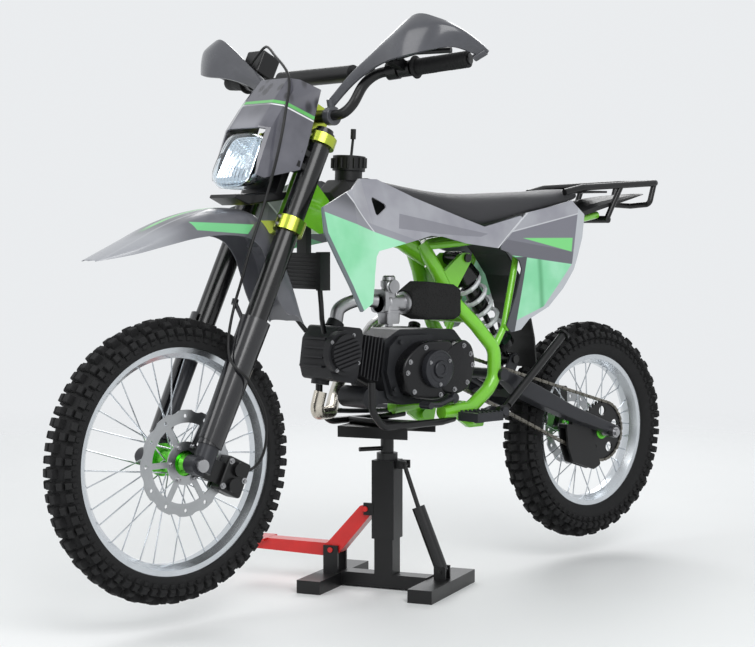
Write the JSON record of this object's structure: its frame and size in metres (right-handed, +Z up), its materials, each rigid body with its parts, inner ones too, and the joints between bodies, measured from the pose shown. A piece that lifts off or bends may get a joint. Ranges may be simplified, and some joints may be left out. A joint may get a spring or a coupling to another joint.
{
  "type": "dirt bike",
  "caption": "Small off-road motorcycle with knobbly tyres, held off the floor by a foot-lever lift stand.",
  "frame": {"origin": "on the floor under the middle of the bike, at the bottom centre of its bounding box", "axes": "+X forward, +Y to the rider's left, +Z up"},
  "size_m": [1.8207, 0.8666, 1.2489],
  "materials": {
    "frame": "gloss lime green",
    "swingarm": "dark silver",
    "rear_axle": "ground steel",
    "shock": "ground steel",
    "shock_spring": "silver-white",
    "crankcase": "dark silver",
    "engine_covers": "dark silver",
    "cylinder": "dark cast",
    "carburettor": "cast grey",
    "air_filter": "matt black",
    "exhaust": "bright",
    "oil_cooler": "satin black",
    "fuel_tank": "matt black",
    "fuel_cap": "matt black",
    "seat": "dark grey cover",
    "shrouds": "mint and grey",
    "tail_panels": "mint and grey",
    "rear_fender": "satin grey",
    "mudguard": "matt black",
    "rack": "satin black",
    "foot_controls": "dark silver",
    "engine_guard": "satin black",
    "chain": "ground steel",
    "chain_guide": "matt black rubber",
    "rear_brake": "satin black",
    "stand_base": "satin black",
    "stand_head": "satin black",
    "stand_pedal": "gloss red",
    "stand_damper": "satin black",
    "fork_tubes": "satin black",
    "fork_sliders": "dark silver",
    "front_axle": "ground steel",
    "fork_guards": "matt black",
    "triple_clamps": "yellow-green anodised",
    "handlebar": "satin black",
    "bar_pad": "matt black",
    "grips": "matt black rubber",
    "hand_guards": "satin grey",
    "bar_controls": "satin black",
    "headlight_mask": "satin grey",
    "headlight": "clear lens",
    "lamp_bracket": "satin black",
    "front_fender": "satin grey",
    "front_brake": "satin black",
    "front_brake_hose": "matt black rubber",
    "front_tyre": "matt black rubber",
    "front_rim": "bright silver",
    "front_hub": "green anodised",
    "front_disc": "ground steel",
    "rear_tyre": "matt black rubber",
    "rear_rim": "bright silver",
    "rear_hub": "green anodised",
    "rear_disc": "ground steel",
    "rear_sprocket": "satin black",
    "side_stand": "satin black"
  },
  "bodies": {
    "chassis": {"frame": "frame", "swingarm": "swingarm", "rear_axle": "rear_axle", "shock": "shock", "shock_spring": "shock_spring", "crankcase": "crankcase", "engine_covers": "engine_covers", "cylinder": "cylinder", "carburettor": "carburettor", "air_filter": "air_filter", "exhaust": "exhaust", "oil_cooler": "oil_cooler", "fuel_tank": "fuel_tank", "fuel_cap": "fuel_cap", "seat": "seat", "shrouds": "shrouds", "tail_panels": "tail_panels", "rear_fender": "rear_fender", "mudguard": "mudguard", "rack": "rack", "foot_controls": "foot_controls", "engine_guard": "engine_guard", "chain": "chain", "chain_guide": "chain_guide", "rear_brake": "rear_brake", "stand_base": "stand_base", "stand_head": "stand_head", "stand_pedal": "stand_pedal", "stand_damper": "stand_damper"},
    "steering": {"fork_tubes": "fork_tubes", "fork_sliders": "fork_sliders", "front_axle": "front_axle", "fork_guards": "fork_guards", "triple_clamps": "triple_clamps", "handlebar": "handlebar", "bar_pad": "bar_pad", "grips": "grips", "hand_guards": "hand_guards", "bar_controls": "bar_controls", "headlight_mask": "headlight_mask", "headlight": "headlight", "lamp_bracket": "lamp_bracket", "front_fender": "front_fender", "front_brake": "front_brake", "front_brake_hose": "front_brake_hose"},
    "front_wheel": {"front_tyre": "front_tyre", "front_rim": "front_rim", "front_hub": "front_hub", "front_disc": "front_disc"},
    "rear_wheel": {"rear_tyre": "rear_tyre", "rear_rim": "rear_rim", "rear_hub": "rear_hub", "rear_disc": "rear_disc", "rear_sprocket": "rear_sprocket"},
    "side_stand": {"side_stand": "side_stand"}
  },
  "joints": [
    {"name": "steering", "type": "hinge", "parent": "chassis", "child": "steering", "pos_m": [0.29351, 0, 0.87719], "axis": [-0.4305, 0, 0.9026], "range_deg": [-35, 35]},
    {"name": "front_wheel_spin", "type": "hinge", "parent": "steering", "child": "front_wheel", "pos_m": [0.62, 0, 0.346], "axis": [0, 1, 0], "continuous": true},
    {"name": "rear_wheel_spin", "type": "hinge", "parent": "chassis", "child": "rear_wheel", "pos_m": [-0.643, 0, 0.317], "axis": [0, 1, 0], "continuous": true},
    {"name": "side_stand_fold", "type": "hinge", "parent": "chassis", "child": "side_stand", "pos_m": [-0.224, 0.12, 0.397], "axis": [0, 0.9823, 0.1874], "range_deg": [-135, 0]}
  ]
}
